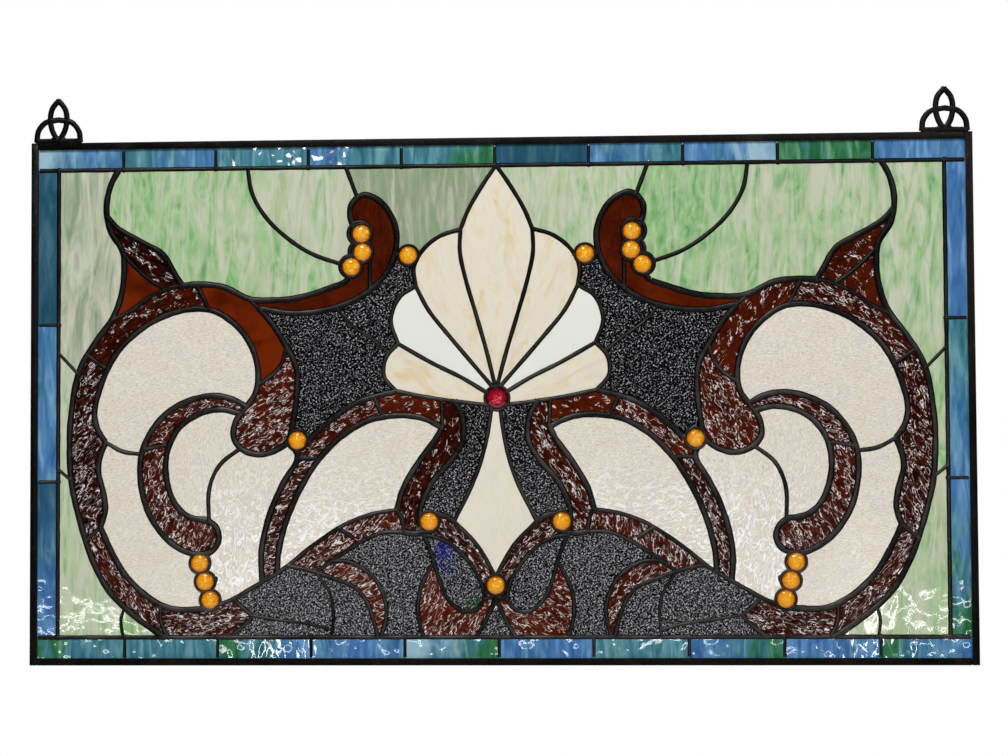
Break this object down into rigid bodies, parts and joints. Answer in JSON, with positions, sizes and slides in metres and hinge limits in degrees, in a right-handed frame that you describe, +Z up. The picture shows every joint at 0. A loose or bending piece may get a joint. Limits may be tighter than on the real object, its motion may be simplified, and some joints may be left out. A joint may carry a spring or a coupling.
{
  "type": "stained glass window",
  "caption": "Framed copper-foil stained glass panel with scroll and shell ornament, round glass jewels and hanging loops at its top corners.",
  "frame": {"origin": "midway between the two hanging loops, at the height where hooks bear in their top holes, in the middle of the panel's thickness", "axes": "+X to the right along the panel's width, +Y from the front to the back through its thickness, +Z up"},
  "size_m": [0.914, 0.0095, 0.5538],
  "materials": {
    "border_glass": "streaky blue, teal and green cathedral glass",
    "green_glass": "green and white streaky opalescent glass",
    "ivory_glass": "ivory opalescent glass with a wavy surface",
    "cream_glass": "smooth cream opalescent glass with faint amber wisps",
    "brown_glass": "hammered and rippled red-brown glass",
    "granite_glass": "near-black glass with a granite surface",
    "amber_jewel_glass": "glossy pressed amber glass",
    "ruby_jewel_glass": "glossy pressed ruby glass",
    "solder": "tin-lead solder beads with a black patina",
    "frame_channel": "metal U-channel with a worn dark brown patina",
    "loop_metal": "cast brass with a dark patina"
  },
  "bodies": {
    "root": {"jewel_kidney_top_left": "amber_jewel_glass", "jewel_kidney_top_right": "amber_jewel_glass", "jewel_kidney_middle_left": "amber_jewel_glass", "jewel_kidney_middle_right": "amber_jewel_glass", "jewel_kidney_low_left": "amber_jewel_glass", "jewel_kidney_low_right": "amber_jewel_glass", "jewel_kidney_inner_left": "amber_jewel_glass", "jewel_kidney_inner_right": "amber_jewel_glass", "jewel_arch_left": "amber_jewel_glass", "jewel_arch_right": "amber_jewel_glass", "jewel_foot_top_left": "amber_jewel_glass", "jewel_foot_top_right": "amber_jewel_glass", "jewel_foot_middle_left": "amber_jewel_glass", "jewel_foot_middle_right": "amber_jewel_glass", "jewel_foot_low_left": "amber_jewel_glass", "jewel_foot_low_right": "amber_jewel_glass", "jewel_column_left": "amber_jewel_glass", "jewel_column_right": "amber_jewel_glass", "jewel_centre": "amber_jewel_glass", "jewel_ruby": "ruby_jewel_glass", "side_ground_left": "green_glass", "side_ground_right": "green_glass", "upper_ground_left": "green_glass", "upper_ground_right": "green_glass", "oval_left": "ivory_glass", "oval_right": "ivory_glass", "hook_ground_left": "ivory_glass", "hook_ground_right": "ivory_glass", "arch_ground_left": "ivory_glass", "arch_ground_right": "ivory_glass", "scroll_left": "brown_glass", "scroll_right": "brown_glass", "arch_left": "brown_glass", "arch_right": "brown_glass", "v_arm_left": "brown_glass", "v_arm_right": "brown_glass", "cup_left": "brown_glass", "cup_right": "brown_glass", "upper_dark_left": "granite_glass", "upper_dark_right": "granite_glass", "centre_dark_left": "granite_glass", "centre_dark_right": "granite_glass", "hill_dark_left": "granite_glass", "hill_dark_right": "granite_glass", "drop_left": "granite_glass", "drop_right": "granite_glass", "shell": "cream_glass", "kite": "cream_glass", "centre_triangle": "granite_glass", "border_top": "border_glass", "border_bottom": "border_glass", "border_left": "border_glass", "border_right": "border_glass", "solder_net": "solder", "frame_left": "frame_channel", "frame_right": "frame_channel", "frame_bottom": "frame_channel", "frame_top": "frame_channel", "hanging_loop_left": "loop_metal", "hanging_loop_right": "loop_metal"}
  },
  "joints": []
}
